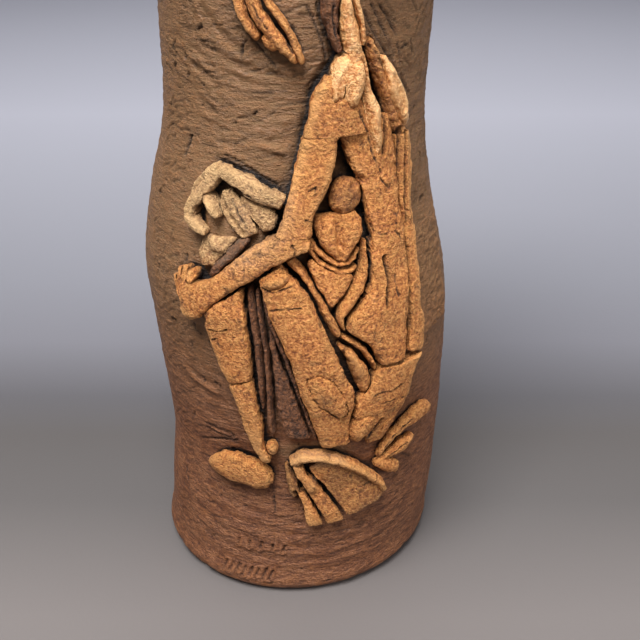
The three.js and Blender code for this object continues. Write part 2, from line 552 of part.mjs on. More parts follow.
// The trunk above the shoulder, and the strands hanging beside it.
lay("trunk_main", "ochre", pad([
  [15.2, 259, 18, 259, 8], [15.3, 250.5, 17.8, 250.5, 8.5], [14.9, 245.5, 19, 245.5, 9],
  [14.8, 241, 20.6, 241, 9], [15.8, 236.5, 21.4, 236.5, 9.5], [16.6, 233.4, 22.2, 233.6, 9.5],
  [18.6, 230.4, 23.2, 230.6, 9], [20.8, 227.6, 23.8, 227.8, 8],
]));
lay("trunk_left", "umber", pad([
  [8.6, 259, 14.6, 259, 7], [8.8, 250, 14.8, 250, 7.5], [9.6, 245.5, 14.3, 245.5, 7],
  [11, 240.5, 14.4, 240.5, 7], [12.8, 236, 15.4, 236, 7], [14, 233.4, 15.8, 233.4, 6.5],
]));
lay("trunk_thin", "ochre", coil([
  [18.5, 259, 20.8, 259, 7], [18.3, 251.5, 20.4, 251.8, 7], [19.7, 246.5, 21.7, 247.2, 7],
  [21.3, 241.5, 23, 242.3, 7], [22, 237.5, 23.5, 238, 7], [22, 235.2, 23.2, 235.6, 6],
]));
lay("strand_main", "ochre",
  pad([
    [-15.4, 259, -11.5, 259, 5.5], [-14.6, 250.5, -10.6, 251, 6], [-13, 246.5, -8.8, 246.5, 6],
    [-10.6, 241.8, -5.8, 242.8, 6], [-8, 238.6, -3.6, 239.6, 6], [-4.6, 235.2, -1.2, 236.2, 6],
    [-1.4, 231.8, 1.2, 232.8, 5.5], [1, 229.5, 2, 230, 4],
  ]),
  pad(oval(-7, 236.4, 3.2, 1.5, -50, 5)));
lay("strand_outer", "ochre", coil([
  [-20.6, 259, -17.4, 259, 5], [-18.9, 250, -15.8, 250.5, 5.5], [-17, 244.5, -14, 245.5, 5.5],
  [-14.4, 239.8, -11.8, 241.5, 5], [-11.8, 237, -10.4, 239, 4],
]));
lay("strand_beaded", "ochre", coil(strip([[-9.4, 259], [-8.2, 251], [-4.8, 246.4], [-2, 242.2],
  [0.4, 237.5], [2.3, 233], [3.5, 229.6]], 2.2, 5)));

// The crown: the trunk and the strands run on up into three branches with paired leaves.
lay("crown_middle", "ochre",
  coil(strip([[14.8, 260], [14.4, 264], [13.2, 274], [9, 288], [7.4, 304], [10, 322], [8, 338]],
    15, 8, 4)),
  pad(oval(19.4, 284, 9.5, 4.2, 42, 7.5)),
  pad(oval(-1, 293, 9.5, 4.2, -44, 7.5)),
  pad(oval(16.6, 307, 9.5, 4, 40, 7)),
  pad(oval(0.6, 317.6, 9, 3.8, -42, 7)),
  pad(oval(17, 331, 8, 3.6, 42, 6.5)));
lay("crown_left", "ochre",
  coil(strip([[-15, 260], [-15.8, 264], [-19, 274], [-27, 288], [-32, 304], [-33, 320], [-30, 336]],
    13, 7, 4)),
  pad(oval(-12.6, 286, 9.5, 4, 46, 7)),
  pad(oval(-38, 288, 9, 4, -60, 7)),
  pad(oval(-22, 307, 9.5, 4, 46, 6.5)),
  pad(oval(-42, 311, 9, 3.8, -54, 6.5)),
  pad(oval(-22.6, 328, 8.4, 3.6, 48, 6)));
lay("crown_right", "ochre",
  coil(strip([[27.4, 258], [28, 264], [30, 274], [35.6, 287], [42, 301], [45, 318], [43, 336]], 9, 7, 4)),
  pad(oval(27, 290, 9, 4, -30, 6.5)),
  pad(oval(46.4, 283.6, 9, 4, 66, 6.5)),
  pad(oval(34.6, 309, 9, 3.8, -42, 6.5)),
  pad(oval(54, 308, 9, 3.8, 60, 6.5)),
  pad(oval(36.2, 328.6, 8, 3.4, -40, 6)));

// ---- Clay colours and the assembled group.

const CLAYS = {
  wall: { color: 0x7a5c46, roughness: 0.82 },
  ochre: { color: 0xb98453, roughness: 0.85 },
  umber: { color: 0x8a6243, roughness: 0.85 },
  dusty: { color: 0xab8c66, roughness: 0.88 },
};

const group = new THREE.Group();

function addNode(name, clay, solid) {
  const made = solid.getMesh();
  const geometry = new THREE.BufferGeometry();
  geometry.setAttribute("position", new THREE.BufferAttribute(new Float32Array(made.vertProperties), 3));
  geometry.setIndex(new THREE.BufferAttribute(new Uint32Array(made.triVerts), 1));
  const mesh = new THREE.Mesh(geometry, new THREE.MeshStandardMaterial({ ...CLAYS[clay], metalness: 0 }));
  mesh.name = name;
  group.add(mesh);
}

addNode("body_wall", "wall", wall());
addNode("base_slab", "wall", baseSlab());
addNode("rim_coil", "wall", rimCoil());

const cutters = [];
for (const { name, clay, runs } of PIECES) {
  let solid = runs.map((run) => runSolid(run)).reduce((sum, part) => sum.add(part));
  for (const cutter of cutters) solid = solid.subtract(cutter);
  addNode(name, clay, largestBody(solid));
  for (const run of runs) cutters.push(runSolid(run, SEAM));
}

export default group;
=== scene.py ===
"""A clay tree of life.

A hand-built column with a seated figure, its bundle, leaves and strands laid on the wall.
"""

import math

import bpy
import numpy as np
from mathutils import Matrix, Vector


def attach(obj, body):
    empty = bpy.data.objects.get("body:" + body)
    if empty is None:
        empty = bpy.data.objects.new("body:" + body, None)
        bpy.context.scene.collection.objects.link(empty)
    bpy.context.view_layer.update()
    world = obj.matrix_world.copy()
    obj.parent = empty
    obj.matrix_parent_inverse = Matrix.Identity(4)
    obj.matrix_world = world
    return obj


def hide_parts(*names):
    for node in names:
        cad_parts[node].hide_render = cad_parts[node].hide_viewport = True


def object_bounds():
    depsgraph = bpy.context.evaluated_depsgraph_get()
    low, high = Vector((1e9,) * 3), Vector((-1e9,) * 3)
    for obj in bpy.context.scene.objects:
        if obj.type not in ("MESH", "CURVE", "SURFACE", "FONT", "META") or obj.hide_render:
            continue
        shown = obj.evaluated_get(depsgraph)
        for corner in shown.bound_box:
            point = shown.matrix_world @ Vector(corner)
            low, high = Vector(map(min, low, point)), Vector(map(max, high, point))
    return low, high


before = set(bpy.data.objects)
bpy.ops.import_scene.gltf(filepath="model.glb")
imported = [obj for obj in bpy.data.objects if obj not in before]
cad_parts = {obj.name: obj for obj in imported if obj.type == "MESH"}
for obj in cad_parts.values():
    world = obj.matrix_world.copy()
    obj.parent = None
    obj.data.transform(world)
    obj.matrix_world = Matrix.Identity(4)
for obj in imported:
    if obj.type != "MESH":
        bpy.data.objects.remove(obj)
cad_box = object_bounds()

# ---- Column wall, its plain shape. The real one is a tube of brown clay about 8 mm thick, pulled
# up by hand. Everything laid on it is placed on a flat sheet that is wrapped round this shape.

MM = 1000.0


def ring_table(node):
    """Heights, sideways lean and radii of the outer rings of the plain wall, in mm."""
    inward_jump = 5.0  # mm: a ring this much smaller than the one below it belongs to the bore
    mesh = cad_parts[node].data
    points = np.empty(len(mesh.vertices) * 3)
    mesh.vertices.foreach_get("co", points)
    points = np.unique(np.round(points.reshape(-1, 3) * MM, 3), axis=0)
    heights, leans, radii = [], [], []
    for height in np.unique(points[:, 2]):
        ring = points[points[:, 2] == height]
        lean = ring[np.argmax(ring[:, 1]), 0]
        reach = np.hypot(ring[:, 0] - lean, ring[:, 1])
        angle = np.round(np.degrees(np.arctan2(ring[:, 0] - lean, -ring[:, 1]))).astype(int) % 360
        outer = {}
        for a, r in zip(angle, reach):
            outer[a] = max(outer.get(a, 0), r)
        if heights and min(outer.values()) < radii[-1].min() - inward_jump:
            continue
        heights.append(height)
        leans.append(lean)
        radii.append(np.array([outer[a] for a in sorted(outer)]))
    return np.array(heights), np.array(leans), np.array(radii)


wall_heights, wall_leans, wall_radii = ring_table("body_wall")
top_of_wall = wall_heights[-1]


def curve_at(place, stops, values):
    """A smooth curve through values at stops; values may have further columns."""
    k = np.clip(np.searchsorted(stops, place) - 1, 0, len(stops) - 2)
    slopes = np.gradient(values, stops, axis=0)
    span = stops[k + 1] - stops[k]
    t = np.clip((place - stops[k]) / span, 0, 1)
    if values.ndim > 1:
        span = span[:, None]
        t = t[:, None]
    rise = 3 * t**2 - 2 * t**3
    start, end = values[k], values[k + 1]
    bend = t * (1 - t) ** 2 * span * slopes[k] + t**2 * (t - 1) * span * slopes[k + 1]
    return start + (end - start) * rise + bend


def wall_radius(angle, height):
    """Radius of the plain wall in mm at an angle from the front, and a height."""
    rows = curve_at(np.clip(height, 0, top_of_wall), wall_heights, wall_radii)
    sides = rows.shape[1]
    place = (np.degrees(angle) % 360) / (360 / sides)
    k = np.floor(place).astype(int)
    t = place - k
    n = np.arange(len(place))
    before, start, end, after = (rows[n, (k + side) % sides] for side in (-1, 0, 1, 2))
    cube = 3 * (start - end) + after - before
    square = 2 * before - 5 * start + 4 * end - after
    return start + 0.5 * t * (end - before + t * (square + t * cube))


def sheet_radius(height):
    """Radius at the back, where the foot hasn't slumped: it measures lengths round the wall."""
    return curve_at(np.clip(height, 0, top_of_wall), wall_heights, wall_radii[:, wall_radii.shape[1] // 2])


def wall_lean(height):
    """How far the middle of the column leans sideways at a height."""
    return curve_at(np.clip(height, 0, top_of_wall), wall_heights, wall_leans)


def to_sheet(points):
    """Points in mm as u round the wall from the front centre line, v up, and out from the wall."""
    x = points[:, 0] - wall_lean(points[:, 2])
    angle = np.arctan2(x, -points[:, 1])
    out = np.hypot(x, points[:, 1]) - wall_radius(angle, points[:, 2])
    return np.column_stack([angle * sheet_radius(points[:, 2]), points[:, 2], out])


def from_sheet(sheet):
    """The way back from the sheet to points in mm."""
    angle = sheet[:, 0] / sheet_radius(sheet[:, 1])
    radius = wall_radius(angle, sheet[:, 1]) + sheet[:, 2]
    x = wall_lean(sheet[:, 1]) + radius * np.sin(angle)
    return np.column_stack([x, -radius * np.cos(angle), sheet[:, 1]])


# ---- Relief pieces: the figure, its bundle, sling, seat, leaves, strands and crown. Each is a slab
# cut from a rolled sheet, a pressed pad or a rolled coil, luted to the wall with wet clay while
# soft. Its torn faces show the coarse grog in the clay.

VOXEL = 0.0005  # cell of the fine skin, in metres
SEAM_FILL = 0.2  # mm that the clay has spread into the seams

# Each entry: rounds of softening, how torn the face is, how strongly it is dragged lengthwise,
# and how square its shoulders are (1 leaves them round, lower is squarer).
SLABS = dict.fromkeys(
    ["shoulder_slab", "upper_arm", "forearm", "near_leg", "back_slab", "seat_slab", "far_shin", "far_ankle"],
    (1, 1.0, 0.3, 0.42),
)
SLABS |= dict.fromkeys(
    ["hand", "outer_band", "foot_heel", "foot_middle", "foot_sole", "lap_cloth", "far_arm", "far_forearm"],
    (1, 0.9, 0.6, 0.45),
)
SLABS |= dict.fromkeys(["bundle_back", "fold_broad", "far_foot"], (4, 0.9, 0.5, 0.6))
PADS = dict.fromkeys(
    ["clasp_left", "clasp_centre", "shoulder_drop", "child_chest", "far_thumb", "side_leaf", "heel_pad"],
    (6, 0.45, 0.6, 0.8),
)
PADS |= dict.fromkeys(
    ["sleeve_leaf", "bundle_leaf_wide", "bundle_leaf_small", "leaf_large", "leaf_pair", "heel_leaf"],
    (4, 0.6, 1.0, 0.75),
)
PADS |= dict.fromkeys(
    ["child_head", "knee_pad", "ankle_pad", "finger_front", "fold_bead", "sling_tail_wide"],
    (5, 0.8, 0.3, 0.85),
)
PADS |= dict.fromkeys(["trunk_main", "trunk_left", "strand_main"], (4, 0.6, 1.0, 0.7))
COILS = dict.fromkeys(["collar_cords", "sling_band", "sling_strap", "sling_tail_thin"], (2, 0.4, 0.9, 0.8))
COILS |= dict.fromkeys(["trunk_thin", "strand_outer", "strand_beaded"], (2, 0.4, 0.9, 0.8))
COILS |= dict.fromkeys(["fold_edge", "fold_long", "fold_thin"], (1, 0.3, 0.6, 1.5))
COILS |= dict.fromkeys(["foot_rim", "foot_toe", "side_band"], (2, 0.7, 0.9, 0.7))
COILS |= dict.fromkeys(["crown_middle", "crown_left", "crown_right"], (4, 0.8, 0.8, 0.75))
RELIEF = SLABS | PADS | COILS

# Deep cuts made with a knife through whole slabs, such as the ones across the foot, as lines of
# [u, v] points on the sheet in mm.
GOUGES = [
    [(-5.4, 70.9), (-1.3, 62.1), (3.5, 53.3), (6.4, 47.2), (9.1, 41.3)],
    [(1.3, 68.9), (5.5, 62.5), (10.3, 55.2), (14.2, 48.8), (17.3, 42.9)],
    [(-3.4, 58.2), (-2.3, 55.6)],
    [(25.8, 80.6), (28.3, 85.2), (31.1, 90.3)],
    [(30, 215), (31, 209), (31.4, 203), (30.9, 197)],
    [(40.6, 203), (41.6, 192), (43, 180), (44.6, 170)],
    [(38, 205), (38.6, 198), (39.4, 190)],
    [(45, 160), (45.6, 150), (45.6, 138), (45, 128)],
    [(34, 160), (35.4, 150), (34.6, 141)],
    [(23.6, 246), (25.6, 239), (29, 232)],
]

# Wide troughs pressed with a fingertip, such as the one between the child's two chest lobes.
TROUGHS = [
    [(17.4, 178), (17.5, 172), (18.2, 166), (18.8, 161)],
    [(21.6, 186.6), (23.6, 189)],
    [(34, 224), (36.4, 218), (38.8, 212)],
    [(-24, 183), (-20, 176), (-15, 170)],
    [(-29.6, 188.4), (-34, 182), (-35, 175)],
]

# Neighbours luted into one another, with how much of the seam between their faces is filled.
LUTED = [
    (["shoulder_slab", "upper_arm", "forearm", "hand", "finger_front"], 1.0),
    (["far_shin", "far_ankle"], 0.95),
    (["far_arm", "far_forearm"], 1.0),
    (["back_slab", "seat_slab"], 0.95),
    (["outer_band", "seat_slab", "side_band"], 0.95),
    (["shoulder_slab", "back_slab"], 0.95),
    (["near_leg", "ankle_pad"], 0.8),
    (["near_leg", "knee_pad"], 0.85),
    (["foot_rim", "foot_middle", "foot_sole", "foot_toe", "foot_heel"], 0.92),
    (["bundle_leaf_wide", "bundle_leaf_small"], 0.85),
    (["trunk_main", "clasp_left", "clasp_centre"], 0.99),
    (["clasp_left", "clasp_centre", "shoulder_slab"], 0.9),
    (["shoulder_drop", "shoulder_slab", "back_slab"], 0.85),
    (["seat_slab", "heel_pad", "heel_leaf"], 0.85),
    (["leaf_large", "leaf_pair"], 0.8),
]

# Cracks and shallow cuts across the faces of the pieces.
FACE_CRACKS = [
    [(20.6, 214), (22.2, 210), (24.4, 205), (25.8, 200), (28, 195), (30.2, 191.4)],
    [(-8.4, 152.6), (-6, 151.6), (-3.6, 151.2), (-1, 152.2), (1.6, 153.6)],
    [(-6, 144), (-3, 144.6), (0.4, 145.4), (4, 145)],
    [(27, 103.6), (30.4, 104.4), (34, 103.8), (38, 105), (40.4, 105.6)],
    [(30, 99), (34, 98.6), (37.4, 99.4), (41, 98)],
    [(24.8, 182.4), (26.6, 177.4), (28.8, 172.8), (30.2, 169.8), (32.4, 168.2), (34.6, 168)],
    [(30.4, 189), (32, 186.6), (33.4, 185.2)],
    [(-29.4, 133), (-26.4, 133), (-22, 134.6)],
    [(-28.4, 128.6), (-26, 130)],
    [(2.2, 168.6), (3, 166.8), (2.8, 165)],
    [(5.8, 177.4), (7.6, 176.6), (8.6, 176)],
    [(6.2, 187), (8.4, 188.6), (8.2, 185.4)],
    [(10, 100.6), (11.8, 98), (13.8, 96.4), (16, 97.2)],
    [(34, 73), (38, 77.4), (43, 80.4), (48, 82)],
    [(35, 67.6), (40, 69.4), (45, 71.4)],
    [(37.4, 169), (40, 166.6), (41, 163)],
    [(38, 152), (38.4, 147), (39.6, 143)],
    [(-22.4, 188.4), (-17, 186.2), (-12, 183.6)],
    [(-19, 182), (-16.4, 177), (-13.4, 172.4)],
    [(24.4, 235.4), (26.6, 232.4)],
    [(26, 236.4), (28.4, 233)],
    [(27.6, 231), (29.6, 227.6)],
    [(-3, 240), (-1, 236.6), (0.6, 233.4)],
    [(-11.6, 249), (-9.6, 245), (-7.4, 241.6)],
    [(12, 249), (11.8, 244), (13.4, 238.6)],
    [(30, 62), (27.4, 59.6), (24, 57)],
]


def noise(points, size, seed=0):
    """Smooth noise from -1 to 1 with lumps about size mm across; size may hold one number per axis."""
    p = points / np.asarray(size, float)
    base = np.floor(p).astype(np.int64)
    t = p - base
    fade = t * t * t * (t * (6 * t - 15) + 10)
    total = np.zeros(len(p))
    for corner in np.ndindex(2, 2, 2):
        c = base + corner
        h = c[:, 0] * 374761393 + c[:, 1] * 668265263 + c[:, 2] * 2246822519 + seed * 3266489917
        h &= 0xFFFFFFFF
        h = ((h ^ (h >> 13)) * 1274126177) & 0xFFFFFFFF
        h ^= h >> 16
        gradient = np.column_stack([h & 1023, (h >> 10) & 1023, (h >> 20) & 1023]) / 511.5 - 1
        weight = np.prod(np.where(corner, fade, 1 - fade), axis=1)
        total += weight * ((t - corner) * gradient).sum(1)
    return total * 1.4


def step(low, high, value):
    """A smooth rise from 0 at low to 1 at high."""
    t = np.clip((value - low) / (high - low), 0, 1)
    return t * t * (3 - 2 * t)


def along_line(sheet, line):
    """Distance in mm from each point of the sheet to a line of [u, v] points."""
    line = np.array(line, float)
    best = np.full(len(sheet), 1e9)
    for a, b in zip(line[:-1], line[1:]):
        d = b - a
        t = np.clip(((sheet[:, :2] - a) @ d) / (d @ d), 0, 1)
        best = np.minimum(best, np.hypot(*(sheet[:, :2] - a - t[:, None] * d).T))
    return best


def drawn(sheet, lines, width, depth, lip=0.35, waver=0.35):
    """Grooves of the given width and depth along lines, with clay thrown up at their sides.

    Returns how far each point moves out, and how much dark wash and painted shade the groove holds.
    """
    shift = np.zeros(len(sheet))
    stain_and_shade = np.zeros(len(sheet))
    reach = 3.5 * width
    for n, line in enumerate(lines):
        low = np.min(line, axis=0) - reach
        high = np.max(line, axis=0) + reach
        near = np.flatnonzero(((sheet[:, :2] > low) & (sheet[:, :2] < high)).all(1))
        if not len(near):
            continue
        local = sheet[near]
        wander = noise(local * [1, 1, 0], 3.0, seed=n + 11) * waver
        d = np.abs(along_line(local, line) + wander * width) / width
        cut = np.exp(-((d * 1.3) ** 2))
        shift[near] += -depth * cut + lip * depth * np.exp(-(((d - 1.5) * 1.6) ** 2))
        stain_and_shade[near] = np.maximum(stain_and_shade[near], cut)
    return shift, stain_and_shade


def plain_clay(node, rounds, voxel=VOXEL):
    """The plain solid of a node as an even fine skin of quads, softened: its points in mm and faces."""
    rough = bpy.data.objects.new(node + "_rough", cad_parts[node].data.copy())
    bpy.context.scene.collection.objects.link(rough)
    rough.modifiers.new("weld", "WELD").merge_threshold = 1e-6
    skin = rough.modifiers.new("skin", "REMESH")
    skin.mode = "VOXEL"
    skin.voxel_size = voxel
    skinned = rough.evaluated_get(bpy.context.evaluated_depsgraph_get()).to_mesh()
    points = np.empty(len(skinned.vertices) * 3)
    skinned.vertices.foreach_get("co", points)
    edges = np.empty(len(skinned.edges) * 2, np.int64)
    skinned.edges.foreach_get("vertices", edges)
    faces = np.empty(len(skinned.loops), np.int64)
    skinned.loops.foreach_get("vertex_index", faces)
    rough.evaluated_get(bpy.context.evaluated_depsgraph_get()).to_mesh_clear()
    bpy.data.objects.remove(rough)
    return softened(points.reshape(-1, 3) * MM, edges.reshape(-1, 2), rounds), faces.reshape(-1, 4)


def softened(points, edges, rounds):
    """Points drawn towards the middle of their neighbours, as a wet thumb rounds an edge."""
    count = np.bincount(edges.ravel(), minlength=len(points))
    for _ in range(rounds):
        moved = np.empty_like(points)
        for k in range(3):
            there = np.bincount(edges[:, 0], points[edges[:, 1], k], len(points))
            back = np.bincount(edges[:, 1], points[edges[:, 0], k], len(points))
            moved[:, k] = (there + back) / count
        points = points + 0.6 * (moved - points)
    return points


def face_normals(points, faces):
    """Unit normals at the points of a mesh of quads."""
    a, b, c, d = (points[faces[:, k]] for k in range(4))
    flat = np.cross(c - a, d - b)
    normals = np.empty_like(points)
    for k in range(3):
        normals[:, k] = sum(np.bincount(faces[:, j], flat[:, k], len(points)) for j in range(4))
    return normals / (np.linalg.norm(normals, axis=1)[:, None] + 1e-9)


def torn_clay(sheet, seed):
    """Height and fissures of clay torn while leather hard: plates, crumbs and hairline cracks."""
    lumps = 0.22 * noise(sheet, 4.6, seed) + 0.16 * noise(sheet, 2.1, seed + 1)
    crumbs = 0.3 * noise(sheet, 1.15, seed + 2)
    plates = 0.2 * np.tanh(7 * noise(sheet, 3.8, seed + 3))
    bent = sheet + 1.6 * np.column_stack([noise(sheet, 3, seed + k) for k in (4, 5, 6)])
    vein = np.abs(noise(bent, 4.6, seed + 7))
    fissure = np.clip(1 - vein / 0.085, 0, 1) * step(-0.1, 0.3, noise(sheet, 7, seed + 8))
    return lumps + crumbs + plates - 0.45 * fissure, fissure


def wobble(sheet):
    """The small waver of every hand-cut edge, the same for all pieces so that seams stay shut."""
    flat = sheet * [1, 1, 0.5]
    waver = [0.4 * noise(flat, 6.5, seed) + 0.26 * noise(flat, 2.4, seed + 2) for seed in (61, 62)]
    return sheet + np.column_stack([*waver, np.zeros(len(sheet))])


def modelled(node):
    """A relief piece worked up as the hand leaves it: spread, dragged, torn and cracked."""
    rounds, torn, dragged, _ = RELIEF[node]
    points, faces = plain_clay(node, rounds)
    seed = sum(ord(letter) for letter in node)
    sheet = to_sheet(points)
    along = np.linalg.eigh(np.cov(sheet[:, :2].T))[1][:, 1]
    across = [-along[1], along[0]]
    lengthwise = np.column_stack([sheet[:, :2] @ along, sheet[:, :2] @ across, sheet[:, 2]])
    drags = 0.24 * noise(lengthwise, [11, 1.7, 3.0], seed + 14)
    drags += 0.12 * noise(lengthwise, [7, 0.9, 2.0], seed + 15)
    tears, fissure = torn_clay(sheet, seed)
    tears *= 0.5 + 0.8 * step(-0.3, 0.5, noise(sheet, 13, seed + 9))
    push = SEAM_FILL + torn * tears + dragged * drags
    sheet = to_sheet(points + face_normals(points, faces) * push[:, None])
    return {"sheet": sheet, "faces": faces, "crack": 0.7 * torn * fissure}


pieces = {node: modelled(node) for node in RELIEF}

# How high the clay stands everywhere on the sheet, and blurred copies of it: a point well below
# the blurred height lies in a gouge, where the dark wash has settled and painted shade is laid.
CELL = 0.5  # mm
SHEET_LOW = np.array([-90.0, 0.0])
SHEET_CELLS = (361, 721)  # reaches 90 mm to either side and 360 mm up
SIDE_STEPS = ((1, 0), (-1, 0), (0, 1), (0, -1))


def height_map(nodes):
    """The highest clay of the nodes in each cell of the sheet, with single empty cells bridged."""
    heights = np.zeros(SHEET_CELLS)
    for node in nodes:
        sheet = pieces[node]["sheet"]
        cell = np.round((sheet[:, :2] - SHEET_LOW) / CELL).astype(int)
        np.maximum.at(heights, (cell[:, 0], cell[:, 1]), sheet[:, 2])
    near = np.array([np.roll(heights, move, (0, 1)) for move in SIDE_STEPS])
    gap = (heights == 0) & ((near > 0).sum(0) > 2)
    return np.where(gap, near.sum(0) / np.maximum((near > 0).sum(0), 1), heights)


def blurred(heights, sigma):
    """A height map averaged over about sigma mm to each side."""
    reach = int(3 * sigma / CELL) + 1
    kernel = np.exp(-0.5 * (np.arange(-reach, reach + 1) * CELL / sigma) ** 2)
    kernel /= kernel.sum()
    for axis in (0, 1):
        heights = sum(w * np.roll(heights, k - reach, axis) for k, w in enumerate(kernel))
    return heights


def disc(reach):
    """Steps in cells to every cell within reach mm."""
    n = int(reach / CELL)
    return [(i, j) for i in range(-n, n + 1) for j in range(-n, n + 1) if i * i + j * j <= n * n + 1]


def raised(heights, reach):
    """The highest clay within reach of each place."""
    return np.maximum.reduce([np.roll(heights, move, (0, 1)) for move in disc(reach)])


def filled(heights, reach):
    """The height map with every groove narrower than twice the reach filled to its banks."""
    banks = raised(heights, reach)
    return np.minimum.reduce([np.roll(banks, move, (0, 1)) for move in disc(reach)])


def read_map(heights, sheet):
    """The height map read at points of the sheet."""
    place = np.clip((sheet[:, :2] - SHEET_LOW) / CELL, 0, np.array(SHEET_CELLS) - 1.001)
    cell = np.floor(place).astype(int)
    t = place - cell
    i, j = cell[:, 0], cell[:, 1]
    low = heights[i, j] * (1 - t[:, 0]) + heights[i + 1, j] * t[:, 0]
    high = heights[i, j + 1] * (1 - t[:, 0]) + heights[i + 1, j + 1] * t[:, 0]
    return low * (1 - t[:, 1]) + high * t[:, 1]


# Each piece stands up squarely from the wall: points on its flanks are lifted towards its crest.
for node, piece in pieces.items():
    sheet = piece["sheet"]
    crest = np.maximum(read_map(blurred(raised(height_map([node]), 1.5), 0.6), sheet), 0.5)
    rise = np.clip(sheet[:, 2] / crest, 0, 1)
    squarer = crest * rise ** RELIEF[node][3]
    sheet[:, 2] = np.where(sheet[:, 2] > 0, np.maximum(sheet[:, 2], squarer), sheet[:, 2])

# The seam between luted neighbours is filled up towards the height of its banks.
for nodes, fill in LUTED:
    plain = height_map(nodes)
    luted = filled(plain, 2.2)
    seam = blurred(np.clip((luted - plain) / 0.4, 0, 1), 0.45)
    luted = blurred(luted, 0.4)
    for node in nodes:
        sheet = pieces[node]["sheet"]
        banks = read_map(luted, sheet) * fill
        amount = np.clip(2 * read_map(seam, sheet), 0, 1) * (sheet[:, 2] > 0.45 * banks)
        sheet[:, 2] += amount * np.maximum(0, banks - sheet[:, 2])

# Cracks, troughs and gouges go in last, on the faces only.
for piece in pieces.values():
    cracks, stain_and_shade = drawn(piece["sheet"], FACE_CRACKS, 0.36, 0.7, lip=0.3, waver=1.3)
    troughs, _ = drawn(piece["sheet"], TROUGHS, 1.3, 1.2, lip=0.1)
    gouges, gouge_wash_and_shade = drawn(piece["sheet"], GOUGES, 0.75, 3.2, lip=0.12)
    upper = step(0.45, 0.75, piece["sheet"][:, 2] / piece["sheet"][:, 2].max())
    piece["sheet"][:, 2] += (cracks + troughs + gouges) * upper
    # The cracks and gouges hold dark wash and painted shade.
    piece["crack"] = np.maximum.reduce([piece["crack"], stain_and_shade * upper, gouge_wash_and_shade])
    piece["sheet"] = wobble(piece["sheet"])

relief_height = height_map(pieces)
close_height = blurred(relief_height, 1.1)
wide_height = blurred(relief_height, 3.2)
edge_height = blurred(relief_height, 0.7)


def settled_stain_and_shade(sheet):
    """Dark wash and painted shade in the gouges, and the rubbed light edges that stand proud of them."""
    deep = read_map(wide_height, sheet) - sheet[:, 2]
    tight = read_map(close_height, sheet) - sheet[:, 2]
    stain_and_shade = np.maximum(step(0.8, 3.8, deep), 0.95 * step(0.7, 2.8, tight))
    return stain_and_shade, step(1.0, 3.6, -deep)


def dusty(sheet):
    """Pale dry dust over the bundle and far arm, and above the near foot."""
    by_bundle = np.hypot((sheet[:, 0] + 19) / 21, (sheet[:, 1] - 178) / 20)
    by_foot = np.hypot((sheet[:, 0] - 4) / 16, (sheet[:, 1] - 75) / 5)
    return np.maximum(1 - step(0.75, 1.25, by_bundle), 0.8 * (1 - step(0.6, 1.3, by_foot)))


# The clay's finish: fired terracotta, torn and dragged, seen through a brown wash. It is matt,
# light on its faces and nearly black in the cuts, where dark wash and painted shade lie.
BLOTCH = 10.0  # mm across a patch of darker or lighter firing
GRAIN = 1.6  # mm across a torn crumb, drawn a little coarse so that it shows
GROG = 0.9  # mm across a grain of crushed pot in the clay


def paint(code):
    """A colour code as the linear colour that the shaders take."""
    channels = [int(code[k : k + 2], 16) / 255 for k in (0, 2, 4)]
    return tuple(c / 12.92 if c <= 0.04045 else ((c + 0.055) / 1.055) ** 2.4 for c in channels) + (1.0,)


def add(tree, kind, settings=(), **links):
    """Adds a node: settings are its properties and socket values, links come from other nodes."""
    node = tree.nodes.new(kind)
    for key, value in dict(settings).items():
        if isinstance(key, str) and hasattr(node, key):
            setattr(node, key, value)
        else:
            node.inputs[key].default_value = value
    for key, socket in links.items():
        target = int(key[1:]) if key[0] == "_" else key.replace("_", " ")
        tree.links.new(socket, node.inputs[target])
    return node


